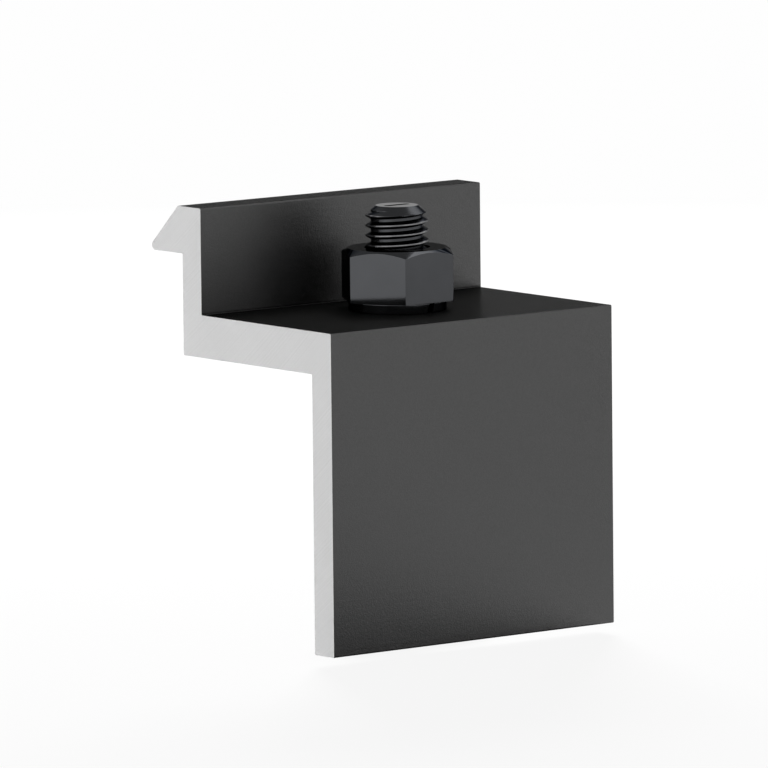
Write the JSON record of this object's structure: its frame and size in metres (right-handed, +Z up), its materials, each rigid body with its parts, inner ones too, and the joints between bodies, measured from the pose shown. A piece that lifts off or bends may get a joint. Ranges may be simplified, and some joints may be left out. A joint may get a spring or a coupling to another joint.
{
  "type": "solar end clamp",
  "caption": "Z-section end clamp whose lip holds a framed solar module down on its rail, drawn tight by a hammer-head bolt, spring washer and hex nut.",
  "frame": {"origin": "on the bolt's axis, in the plane of the rail's top, where the foot of the leg stands", "axes": "+X along the sawn length of the profile, +Y from the leg towards the module it holds, +Z up along the bolt"},
  "size_m": [0.0444, 0.0361, 0.0545],
  "materials": {
    "black_anodised_aluminium": "black anodised satin, with bare sawn ends",
    "blackened_steel": "blackened, slightly glossy"
  },
  "bodies": {
    "clamp": {"clamp_profile": "black_anodised_aluminium", "spring_washer": "blackened_steel"},
    "nut": {"hex_nut": "blackened_steel"},
    "bolt": {"t_bolt": "blackened_steel"}
  },
  "joints": [
    {"name": "nut_turn", "type": "hinge", "parent": "clamp", "child": "nut", "pos_m": [0, 0, 0.0445], "axis": [0, 0, 1], "range_deg": [-9000, 1512]},
    {"name": "bolt_draw", "type": "slide", "parent": "clamp", "child": "bolt", "axis": [0, 0, 1], "range_m": [-0.00526, 0.03126]}
  ],
  "couplings": [
    {"joint": "bolt_draw", "follows": "nut_turn", "m_per_rad": -0.00019894}
  ]
}
